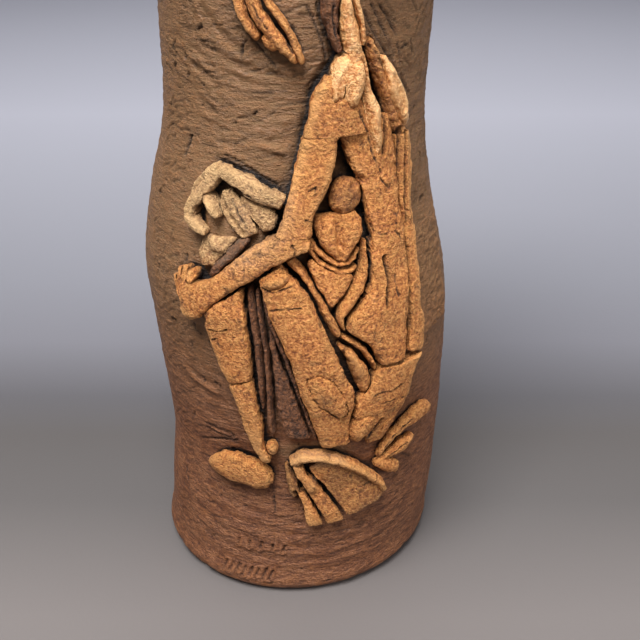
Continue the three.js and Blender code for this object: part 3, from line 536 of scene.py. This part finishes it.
def clay(name, tones, wash_and_shade_colour, worn, dust, tooth, gloss, stretch=(1, 1, 1)):
    """Unglazed clay: body tones from pits to tips, then worn edges, dry dust, and dark wash with painted
    shade on top.
    """
    material = bpy.data.materials.new(name)
    material.use_nodes = True
    tree = material.node_tree
    tree.nodes.clear()
    place = add(tree, "ShaderNodeTexCoord").outputs["Object"]
    patches = {"Scale": MM / BLOTCH, "Detail": 3.0, "Roughness": 0.6}
    blotch = add(tree, "ShaderNodeTexNoise", patches, Vector=place).outputs["Fac"]
    dragged = add(tree, "ShaderNodeMapping", {"Scale": stretch}, Vector=place).outputs["Vector"]
    crumbs = {"Scale": MM / GRAIN, "Detail": 4.0, "Roughness": 0.75}
    grain = add(tree, "ShaderNodeTexNoise", crumbs, Vector=dragged).outputs["Fac"]
    grit = {"Scale": MM / GROG, "Detail": 2.0, "Roughness": 0.6}
    grog = add(tree, "ShaderNodeTexNoise", grit, Vector=place).outputs["Fac"]
    with_grog = {"operation": "MULTIPLY_ADD", 1: 0.45}
    height = add(tree, "ShaderNodeMath", with_grog, _0=grog, _2=grain).outputs[0]
    with_blotch = {"operation": "MULTIPLY_ADD", 1: 0.34}
    tone = add(tree, "ShaderNodeMath", with_blotch, _0=blotch, _2=height).outputs[0]
    spread = {"From Min": 0.68, "From Max": 1.02}
    tone = add(tree, "ShaderNodeMapRange", spread, Value=tone).outputs["Result"]
    ramp = add(tree, "ShaderNodeValToRGB", _0=tone)
    ramp.color_ramp.elements.new(0.35)
    ramp.color_ramp.elements.new(0.62)
    for stop, place_on_ramp, code in zip(ramp.color_ramp.elements, (0.08, 0.32, 0.6, 0.92), tones):
        stop.position = place_on_ramp
        stop.color = paint(code)
    body = ramp.outputs["Color"]
    # The stain and groove coats lay the wash colour as dark wash and painted shade.
    coats = (("wear", worn, 0.5), ("dust", dust, 0.7), ("stain_and_shade", wash_and_shade_colour, 1.0), ("groove_wash_and_shade", wash_and_shade_colour, 0.9))
    for attribute, colour, strength in coats:
        amount = add(tree, "ShaderNodeAttribute", {"attribute_name": attribute}).outputs["Fac"]
        broken = {"From Min": 0.35, "From Max": 0.65, "To Min": strength * 1.3, "To Max": strength * 0.8}
        patchy = add(tree, "ShaderNodeMapRange", broken, Value=grain).outputs["Result"]
        product = {"operation": "MULTIPLY", "use_clamp": True}
        amount = add(tree, "ShaderNodeMath", product, _0=amount, _1=patchy).outputs[0]
        coat = {"data_type": "RGBA", 7: paint(colour)}
        body = add(tree, "ShaderNodeMix", coat, _0=amount, _6=body).outputs[2]
    smoothed = {"From Min": 0.38, "From Max": 0.6, "To Min": 0.6 * tooth, "To Max": tooth}
    roughly = add(tree, "ShaderNodeMapRange", smoothed, Value=blotch).outputs["Result"]
    bump = add(tree, "ShaderNodeBump", {"Distance": 0.003}, Strength=roughly, Height=height)
    rubbed = {"From Min": 0.4, "From Max": 0.6, "To Min": gloss + 0.2, "To Max": gloss}
    sheen = add(tree, "ShaderNodeMapRange", rubbed, Value=grain).outputs["Result"]
    shader = add(
        tree,
        "ShaderNodeBsdfPrincipled",
        {"IOR": 1.5, "Specular IOR Level": 0.45},
        Base_Color=body,
        Roughness=sheen,
        Normal=bump.outputs["Normal"],
    ).outputs["BSDF"]
    add(tree, "ShaderNodeOutputMaterial", Surface=shader)
    return material


# Torn terracotta under a thin wash, wiped off its faces: warm ochre with dark pits.
washed_terracotta = clay(
    "washed_terracotta",
    ("733C17", "A0602D", "B87439", "D49250"),
    wash_and_shade_colour="180A05",
    worn="DFA564",
    dust="A8916F",
    tooth=1.0,
    gloss=0.48,
)
# Terracotta rubbed smooth with a thumb: paler, with soft highlights.
burnished_terracotta = clay(
    "burnished_terracotta",
    ("945626", "BE7840", "D29358", "EBB478"),
    wash_and_shade_colour="180A05",
    worn="F4C890",
    dust="A8916F",
    tooth=0.8,
    gloss=0.3,
)
# Terracotta with the wash left on it: umber, with only its ridges lighter.
dark_washed_terracotta = clay(
    "dark_washed_terracotta",
    ("2C170D", "4E2F1B", "673E24", "845331"),
    wash_and_shade_colour="100604",
    worn="A06A3E",
    dust="84705A",
    tooth=1.0,
    gloss=0.5,
)
# Terracotta under dry slip dust: a greyish buff, quite matt.
dusty_terracotta = clay(
    "dusty_terracotta",
    ("5F3C22", "93643D", "B28252", "D0A470"),
    wash_and_shade_colour="180C07",
    worn="E6B67C",
    dust="9A8564",
    tooth=0.9,
    gloss=0.55,
)

BURNISHED = {"clasp_left", "clasp_centre", "shoulder_drop", "side_leaf", "trunk_main", "trunk_thin"}
DARK_WASHED = {"sleeve_leaf", "fold_long", "fold_thin", "fold_broad", "fold_edge", "trunk_left"}
DUSTY = {"far_thumb", "far_forearm", "far_arm", "bundle_leaf_wide", "bundle_leaf_small", "bundle_back"}
# How much painted shade lies over whole faces that sit in shade, such as the child's head and the hollow of
# the sole under the rim.
SHADED = {"child_head": 0.45, "foot_sole": 0.42, "foot_toe": 0.45}
SHADED |= {"foot_middle": 0.15, "heel_leaf": 0.2, "side_band": 0.3}


def relief_clay(node):
    """The finish of a relief piece, and a slot name that it returns but nothing uses."""
    if node in BURNISHED:
        return burnished_terracotta, "ochre_clay"
    if node in DARK_WASHED:
        return dark_washed_terracotta, "umber_clay"
    if node in DUSTY:
        return dusty_terracotta, "dusty_clay"
    return washed_terracotta, "ochre_clay"


def new_piece(name, points_mm, faces):
    """A smooth-shaded piece from points in mm and faces."""
    mesh = bpy.data.meshes.new(name)
    mesh.from_pydata((points_mm / MM).tolist(), [], faces.tolist())
    mesh.update()
    mesh.shade_smooth()
    piece = bpy.data.objects.new(name, mesh)
    bpy.context.scene.collection.objects.link(piece)
    return piece


def write_attribute(mesh, name, values):
    """Keeps a value at every point of a mesh for its material to read."""
    layer = mesh.attributes.new(name, "FLOAT", "POINT")
    layer.data.foreach_set("value", np.asarray(values, np.float32))


for node, piece in pieces.items():
    sheet = piece["sheet"]
    finish, slot = relief_clay(node)
    placed = from_sheet(sheet)
    made = new_piece(node + "_modelled", placed, piece["faces"])
    # Dark wash and painted shade in the gouges, lifted on faces that point up, more on dusty pieces and the
    # foot rim; pieces in SHADED get painted shade over whole faces.
    stain_and_shade, wear = settled_stain_and_shade(sheet)
    upward = face_normals(placed, piece["faces"])[:, 2]
    rinsed_and_lit_upward = 0.75 if node in DUSTY or node == "foot_rim" else 0.5
    stain_and_shade *= 1 - rinsed_and_lit_upward * step(0.1, 0.7, upward)
    stain_and_shade = np.maximum(stain_and_shade, SHADED.get(node, 0) * step(1.0, -0.4, noise(sheet, 9, 51)))
    write_attribute(made.data, "stain_and_shade", stain_and_shade)
    write_attribute(made.data, "wear", wear)
    write_attribute(made.data, "groove_wash_and_shade", piece["crack"])
    write_attribute(made.data, "dust", 0.4 * dusty(sheet))
    made.data.materials.append(finish)
    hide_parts(node)
    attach(made, "root")


# ---- Column wall, worked up. The clay was dragged over with wet fingers, scratched and pitted,
# and washed with a dark stain, with painted shade beside the relief and in its hollows. One patch
# on the right is rough, and the foot's edge is chipped.

# Wall drags, in sheet mm. Long finger sweeps run down to the right at the top and level out
# lower down; short slanting strokes cover the left edge and the ground by the hand.
FINGER_SWEEPS = [
    [(-42, 239), (-34, 234), (-25, 229.5), (-14, 226.5), (-4, 225)],
    [(-40, 233), (-31, 228), (-22, 224), (-12, 221), (-2, 220)],
    [(-38, 226), (-29, 222), (-20, 218.5), (-9, 216.5), (3, 216)],
    [(-33, 246), (-28, 240), (-22, 236), (-17, 233)],
    [(-36, 214), (-30, 210.5), (-22, 209.5), (-12, 210), (0, 212)],
    [(-34, 206), (-24, 205), (-12, 205.6), (0, 207)],
    [(-28, 219), (-27.5, 216), (-25, 213.6), (-21, 213)],
    [(-26, 200), (-14, 202), (-4, 202.6), (0, 203)],
    [(-20, 196.5), (-10, 197.5), (-2, 195)],
    [(-45, 47), (-30, 44), (-12, 40.5), (8, 37), (24, 38), (40, 42)],
    [(-50, 41), (-34, 37), (-16, 34), (2, 32), (22, 33), (44, 38)],
    [(-52, 33), (-36, 29), (-18, 27), (2, 25.5), (24, 27), (46, 32)],
    [(-48, 24), (-30, 20.5), (-12, 19), (10, 18.5), (34, 21), (50, 26)],
    [(-46, 98), (-40, 96), (-33, 95)],
    [(-52, 106), (-44, 103), (-36, 102)],
    [(50, 100), (54, 108), (55, 118)],
    [(42, 52), (50, 58), (56, 66)],
    [(30, 47), (44, 50), (56, 58)],
]
FINE_SCRATCHES = [
    [(-44, 80), (-38, 79.6), (-31, 79.8), (-29.5, 78.4), (-31.5, 77.2), (-38, 77), (-44, 78.2)],
    [(-49, 69.4), (-42, 72.4), (-34, 75.4), (-28, 76.8)],
    [(-12.9, 55), (-12.4, 50), (-11.4, 44)],
    [(38, 65.4), (45, 63.4), (52, 58)],
    [(5, 248), (8, 241.5), (10.4, 236), (11.8, 231)],
    [(8.2, 249), (9.6, 243), (11, 238)],
    [(0, 241.4), (1.8, 237.5), (3.8, 233)],
    [(-15.6, 237), (-17.4, 234.4), (-17.6, 231)],
    [(-21, 250), (-19, 245), (-16, 240), (-12, 235.6), (-8, 231), (-5.4, 228)],
    [(25, 246), (29, 239), (34, 232.6), (39, 227.6), (43, 220)],
    [(28, 248), (33, 240), (38, 232)],
    [(32, 247), (36, 242), (40, 237)],
    [(41, 233.4), (43, 228.4), (43.6, 225.6)],
    [(49, 233.6), (51, 228.6)],
    [(42, 231), (48, 232.6)],
    [(44, 222), (48, 217), (51, 214)],
    [(46, 209), (48, 205)],
    [(49, 201), (51, 196), (52, 193)],
    [(48.4, 188), (49.4, 180), (50, 172)],
    [(52.4, 168), (53.6, 160), (54, 152)],
    [(-24.4, 196), (-18, 193.8), (-11, 190.2), (-4, 186.8)],
]
TICKS = [
    [(-52, 231), (-50, 233)],
    [(-43.4, 227.6), (-42.8, 229.6)],
    [(-52, 223.8), (-50, 225)],
    [(-42.4, 222), (-41.6, 222.8)],
    [(-44.6, 192.6), (-42, 198), (-41.4, 200.2)],
    [(-52.6, 197.2), (-51.8, 198)],
    [(-62, 174.6), (-60.6, 175.6)],
    [(-36, 239), (-34, 240)],
    [(-13, 211.6), (-12.4, 212.2)],
    [(-42.6, 154), (-41.8, 156.6)],
    [(-44.8, 131), (-43, 128), (-42.6, 126)],
    [(-41.4, 125.4), (-40, 124.4)],
    [(-36, 122), (-34.8, 123.4)],
    [(-58, 125), (-55, 126)],
    [(-46.6, 116), (-46.2, 118)],
    [(-62, 47), (-62.4, 43), (-60, 41)],
    [(63, 189), (64.6, 188)],
    [(64, 171.6), (67, 172)],
    [(-36, 103), (-33.6, 102)],
    [(-31, 71), (-30, 68)],
    [(-52, 80), (-51, 82)],
    [(62, 112), (63, 115)],
]


def slanting(us, vs, slope, length, seed):
    """Short strokes scattered over a stretch of wall, as a hurried hand leaves them."""
    rng = np.random.default_rng(seed)
    strokes = []
    for u in us:
        for v in vs:
            u0, v0 = u + rng.uniform(-2.6, 2.6), v + rng.uniform(-2, 2)
            turn = slope + rng.uniform(-0.4, 0.4)
            half = length * rng.uniform(0.3, 1.1) / 2
            du, dv = half * math.cos(turn), half * math.sin(turn)
            if rng.uniform() > 0.3:
                strokes.append([(u0 - du, v0 - dv), (u0, v0 + rng.uniform(-0.5, 0.5)), (u0 + du, v0 + dv)])
    return strokes


# Each call: where along u and v, the slope in radians, the length in mm and the seed.
HAND_STROKES = (
    slanting(np.arange(-64, -42, 5), np.arange(126, 164, 4), 0.7, 8, 1)
    + slanting(np.arange(-58, -38, 5), np.arange(178, 214, 3.6), 0.45, 8, 2)
    + slanting(np.arange(-56, -30, 6), np.arange(212, 248, 5), -0.35, 9, 3)
    + slanting(np.arange(28, 52, 5), np.arange(220, 250, 4.6), -0.9, 8, 4)
    + slanting(np.arange(57, 78, 4.6), np.arange(120, 166, 4.4), 0.12, 6, 5)
    + slanting(np.arange(54, 76, 6), np.arange(172, 250, 6), 0.9, 6, 6)
    + slanting(np.arange(-62, 60, 9), np.arange(22, 58, 5), 0.05, 13, 7)
    + slanting(np.arange(-30, 12, 6), np.arange(196, 250, 5), 0.15, 11, 8)
    + slanting(np.arange(-66, -44, 6), np.arange(60, 124, 6), 0.3, 9, 9)
)
# A row of nicks low on the foot, and a row of fine ticks above it.
FOOT_TICKS = [
    [(u, 7.4 + 0.5 * (k % 3)), (u + 1.6, 12.6 - 0.4 * (k % 2))] for k, u in enumerate(range(-33, -9, 3))
]
MARK_TICKS = [[(u, 23.4), (u + 0.5, 26.6)] for u in range(-27, -3, 5)]

FRONT = math.radians(104)  # how far round to each side the wall is finely divided
FRONT_COLUMNS = 312
BACK_COLUMNS = 84
WALL_ROWS = 470
FOOT_ROWS = 6
INNER_ROWS = 26
THICKNESS = 8.0  # mm
INNER_DARKENING = 0.45  # how much darker the inside of the tube is made
INNER_DUST = 0.4


def wall_angles():
    """Angles of the wall's columns from the front, closer together where it can be seen."""
    front = np.linspace(-FRONT, FRONT, FRONT_COLUMNS, endpoint=False)
    back = np.linspace(FRONT, 2 * math.pi - FRONT, BACK_COLUMNS, endpoint=False)
    return np.concatenate([front, back])


def grid_faces(rows, columns):
    """Quads of a grid that closes round its columns and round its rows."""
    i = np.arange(rows)[:, None]
    j = np.arange(columns)[None, :]
    a = i * columns + j
    b = i * columns + (j + 1) % columns
    c = ((i + 1) % rows) * columns + (j + 1) % columns
    d = ((i + 1) % rows) * columns + j
    return np.stack([a, b, c, d], axis=-1).reshape(-1, 4)


# The same clay as the relief, left unwiped: dull brown, dragged level, with dark hollows of wash and painted
# shade.
stained_ground = clay(
    "stained_ground",
    ("4A2814", "5F361D", "6E4124", "855431"),
    wash_and_shade_colour="120704",
    worn="A86A3A",
    dust="7C5D3B",
    tooth=0.8,
    gloss=0.5,
    stretch=(0.35, 0.35, 1.3),
)


def ground_shift(sheet):
    """How far the ground stands out from the plain wall, and its stain with painted shade, wear, groove wash
    with painted shade, and dust.
    """
    flat = sheet * [1, 1, 0]
    broad = 0.5 * noise(flat, 26, 21) + 0.3 * noise(flat, 11, 22)
    near_foot = 1 - step(40, 75, sheet[:, 1])
    drags = (0.3 - 0.2 * near_foot) * noise(flat, [15, 3.6, 1], 23) + 0.22 * noise(flat, [9, 1.1, 1], 24)
    lumps = 0.16 * noise(flat, 3.2, 25) + 0.14 * noise(flat, 1.5, 26)
    pits = -0.8 * step(0.58, 0.8, noise(flat, 2.4, 27))
    shift = broad + drags + lumps + pits
    sweeps, _ = drawn(sheet, FINGER_SWEEPS, 2.0, 0.6, lip=0.7)
    pressed = step(-0.2, 0.5, noise(flat, [14, 8, 1], 20)) * (0.25 + 0.75 * step(50, 90, sheet[:, 1]))
    sweeps *= 0.35 + 0.65 * pressed
    strokes, stroke_wash_and_shade = drawn(sheet, HAND_STROKES, 0.6, 0.34, lip=0.7)
    scratches, scratch_wash_and_shade = drawn(sheet, FINE_SCRATCHES, 0.6, 0.8, lip=0.5)
    ticks, tick_wash_and_shade = drawn(sheet, TICKS, 0.65, 1.3, lip=0.3)
    marks, mark_wash_and_shade = drawn(sheet, FOOT_TICKS + MARK_TICKS, 0.7, 0.9, lip=0.8)
    shift += sweeps + strokes + scratches + ticks + marks
    patch = step(53, 58, sheet[:, 0]) * step(116, 119, sheet[:, 1]) * (1 - step(160, 172, sheet[:, 1]))
    patch *= 1 - step(80, 88, sheet[:, 0])
    shift += patch * (0.9 + 0.8 * noise(flat, 2.2, 28))
    bundle = 1 - step(0.75, 1.05, np.hypot((sheet[:, 0] + 19) / 14, (sheet[:, 1] - 172) / 13))
    shift += 2.4 * bundle
    shift -= 1.2 * step(1.5, 5, read_map(wide_height, sheet))
    # Painted shade: the ground beside and between the relief pieces, and in its own hollows, is darkened
    # with the wash colour, less by the bundle.
    enclosed = step(3.8, 6.0, read_map(wide_height, sheet))
    stain_and_shade = np.maximum(enclosed, 0.9 * step(1.4, 4.2, read_map(edge_height, sheet)))
    wear = step(0.25, 1.0, shift) * 0.5 + 0.25 * patch
    foot = 1 - step(3, 10, sheet[:, 1])
    wear = np.maximum(wear, foot * step(-0.1, 0.5, noise(flat, 6, 29)))
    # Dark wash and painted shade in the ticks, scratches, strokes, marks and pits.
    groove_wash_and_shade = np.maximum.reduce([tick_wash_and_shade, 0.7 * scratch_wash_and_shade, 0.35 * stroke_wash_and_shade, 0.3 * mark_wash_and_shade])
    groove_wash_and_shade = np.maximum(groove_wash_and_shade, step(0.5, 0.9, -pits))
    stain_and_shade = np.maximum(stain_and_shade * (1 - 0.75 * bundle), 0.5 * step(0.2, 1.2, -shift))
    dust = np.maximum(0.9 * step(70, 150, sheet[:, 1] + 8 * noise(flat, 30, 30)), dusty(sheet))
    return shift, stain_and_shade, wear, groove_wash_and_shade, dust


def on_grid(angles, heights):
    """The plain sheet points of a grid of columns and rows."""
    v = np.repeat(heights, len(angles))
    a = np.tile(angles, len(heights))
    a = np.where(a > math.pi, a - 2 * math.pi, a)
    return np.column_stack([a * sheet_radius(v), v, np.zeros(len(v))])


def wall_mesh():
    """The tube of clay: its outside from the rounded foot up, then its inside from the top down."""
    angles = wall_angles()
    rounding = wall_heights[1]
    heights = np.concatenate([
        rounding * (1 - np.cos(np.linspace(0, math.pi / 2, FOOT_ROWS, endpoint=False))),
        np.linspace(rounding, top_of_wall, WALL_ROWS),
    ])
    sheet = on_grid(angles, heights)
    v = sheet[:, 1]
    shift, stain_and_shade, wear, groove_wash_and_shade, dust = ground_shift(sheet)
    fade = step(0, 6, v) * (1 - step(top_of_wall - 5, top_of_wall - 1, v))
    chips = -1.1 * step(0.15, 0.6, noise(sheet, 7, 31)) * (1 - step(2, 9, v))
    sheet[:, 2] = shift * fade + chips
    outer = from_sheet(sheet)
    inner_sheet = on_grid(angles, np.linspace(top_of_wall, 0, INNER_ROWS))
    v = inner_sheet[:, 1]
    full = 0.8 * noise(inner_sheet, [24, 7, 1], 32) + 0.3 * noise(inner_sheet, [12, 3, 1], 33)
    inner_sheet[:, 2] = -THICKNESS + np.abs(full) * step(12, 20, v) * (1 - step(340, 350, v)) * -0.8
    inner = from_sheet(inner_sheet)
    faces = grid_faces(len(heights) + INNER_ROWS, len(angles))
    made = new_piece("body_wall_modelled", np.vstack([outer, inner]), faces)
    blank = np.zeros(len(inner))
    write_attribute(made.data, "stain_and_shade", np.concatenate([stain_and_shade, blank + INNER_DARKENING]))
    write_attribute(made.data, "wear", np.concatenate([wear, blank]))
    write_attribute(made.data, "groove_wash_and_shade", np.concatenate([groove_wash_and_shade, blank]))
    write_attribute(made.data, "dust", np.concatenate([dust, blank + INNER_DUST]))
    return made


wall = wall_mesh()
wall.data.materials.append(stained_ground)
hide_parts("body_wall")
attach(wall, "root")

# ---- Rim coil and base slab. The rim is a rolled coil of the same clay pinched round the mouth;
# the base is a slab pressed into the foot. Both keep the maker's fingermarks.


def pinched(node, voxel, pinch, dust):
    """A plain ring or slab of the column with shallow pinches all over, flat where it stands."""
    points, faces = plain_clay(node, 6, voxel)
    push = 0.6 * noise(points, 9, 41) + 0.3 * noise(points, 3.4, 42) + 0.14 * noise(points, 1.6, 43)
    push *= pinch
    points = points + face_normals(points, faces) * push[:, None]
    points[:, 2] = np.clip(points[:, 2], 0, cad_box[1][2] * MM)
    made = new_piece(node + "_modelled", points, faces)
    # Painted shade and wash in the pinched-in hollows; wear on the pinched-out lumps.
    write_attribute(made.data, "stain_and_shade", 0.4 * step(0.05, 0.5, -push))
    write_attribute(made.data, "wear", step(0.1, 0.5, push))
    write_attribute(made.data, "groove_wash_and_shade", np.zeros(len(points)))
    write_attribute(made.data, "dust", np.full(len(points), dust))
    made.data.materials.append(stained_ground)
    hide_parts(node)
    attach(made, "root")


pinched("rim_coil", 0.0009, 0.9, 0.8)
pinched("base_slab", 0.0013, 0.5, 0.12)

# ---- Studio: a pale grey sweep that rises behind the column, a large soft light over the
# front, a weaker one from each side, and a camera looking down at it.

SWEEP_WIDTH = 8.0  # metres, like the other sizes of the studio
SWEEP_FRONT = -2.4
SWEEP_BACK = 2.2
SWEEP_BEND = 0.9
SWEEP_TOP = 3.4
LEATHER_GRAIN = 0.0016


def sweep():
    """The sweep's surface: flat floor, bend, then upright."""
    bend = [
        (SWEEP_BACK + SWEEP_BEND * math.sin(t), SWEEP_BEND * (1 - math.cos(t)))
        for t in np.linspace(0, math.pi / 2, 24)
    ]
    profile = [(SWEEP_FRONT, 0.0)] + bend + [(SWEEP_BACK + SWEEP_BEND, SWEEP_TOP)]
    points = [(side * SWEEP_WIDTH / 2, y, z) for y, z in profile for side in (-1, 1)]
    faces = [(2 * k, 2 * k + 1, 2 * k + 3, 2 * k + 2) for k in range(len(profile) - 1)]
    mesh = bpy.data.meshes.new("sweep")
    mesh.from_pydata(points, [], faces)
    mesh.shade_smooth()
    made = bpy.data.objects.new("sweep", mesh)
    bpy.context.scene.collection.objects.link(made)
    return made


def sweep_vinyl_with_painted_shade():
    """Pale grey vinyl with a fine leather grain, and painted shade that is darkest just behind the column,
    with painted light further back.
    """
    material = bpy.data.materials.new("pale_grey_vinyl_with_painted_shade")
    material.use_nodes = True
    tree = material.node_tree
    tree.nodes.clear()
    place = add(tree, "ShaderNodeTexCoord").outputs["Object"]
    grain = add(tree, "ShaderNodeTexVoronoi", {"Scale": 1 / LEATHER_GRAIN}, Vector=place)
    shallow = {"Strength": 0.12, "Distance": 0.0003}
    bump = add(tree, "ShaderNodeBump", shallow, Height=grain.outputs["Distance"])
    apart = add(tree, "ShaderNodeSeparateXYZ", Vector=place)
    near_to_far = {"From Min": -0.2, "From Max": 0.8}
    depth = add(tree, "ShaderNodeMapRange", near_to_far, Value=apart.outputs["Y"])
    ramp = add(tree, "ShaderNodeValToRGB", _0=depth.outputs["Result"])
    # Painted shade and light: the vinyl is darkest just behind the column, where the crease of a sweep lies
    # in shade, and lighter towards the camera and far behind.
    tones = {0.12: "6B6563", 0.2: "565251", 0.26: "524E4D", 0.3: "555356"}
    tones |= {0.37: "6F6E74", 0.48: "7D7D84", 1.0: "AAAAB4"}
    for _ in range(len(tones) - 2):
        ramp.color_ramp.elements.new(0.5)
    for stop, (at, code) in zip(ramp.color_ramp.elements, tones.items()):
        stop.position = at
        stop.color = paint(code)
    shader = add(
        tree,
        "ShaderNodeBsdfPrincipled",
        {"Roughness": 0.6, "IOR": 1.5, "Specular IOR Level": 0.3},
        Base_Color=ramp.outputs["Color"],
        Normal=bump.outputs["Normal"],
    ).outputs["BSDF"]
    add(tree, "ShaderNodeOutputMaterial", Surface=shader)
    return material


floor = sweep()
floor.data.materials.append(sweep_vinyl_with_painted_shade())


def soft_light(name, power, size, place, aim):
    """An area light of a power in watts and a size in metres, turned to face a point."""
    data = bpy.data.lights.new(name, "AREA")
    data.energy = power
    data.shape = "RECTANGLE"
    data.size, data.size_y = size
    lamp = bpy.data.objects.new(name, data)
    lamp.location = place
    direction = np.array(aim) - np.array(place)
    lamp.rotation_euler = (
        math.atan2(math.hypot(direction[0], direction[1]), -direction[2]),
        0,
        math.atan2(direction[1], direction[0]) - math.pi / 2,
    )
    bpy.context.scene.collection.objects.link(lamp)


AIM = (0, 0, 0.16)
soft_light("overhead_softbox", 38, (0.7, 0.6), (-0.2, -0.62, 1.3), AIM)
soft_light("left_fill", 2.2, (1.2, 1.6), (-1.5, -0.9, 0.7), AIM)
soft_light("right_fill", 15, (1.2, 1.6), (1.4, -0.9, 0.7), AIM)
soft_light("sweep_light", 24, (2.4, 0.8), (0, 1.0, 1.9), (0, 1.5, 0.0))

world = bpy.data.worlds.new("studio")
bpy.context.scene.world = world
world.use_nodes = True
world.node_tree.nodes["Background"].inputs["Color"].default_value = paint("D8DAE0")
world.node_tree.nodes["Background"].inputs["Strength"].default_value = 0.28

camera_data = bpy.data.cameras.new("camera")
camera_data.lens = 50
camera_data.sensor_width = 36
camera = bpy.data.objects.new("camera", camera_data)
camera.location = (0.0114, -0.3644, 0.2893)
camera.rotation_euler = (math.radians(63), 0, 0)
bpy.context.scene.collection.objects.link(camera)
bpy.context.scene.camera = camera
bpy.context.scene.view_settings.view_transform = "Standard"
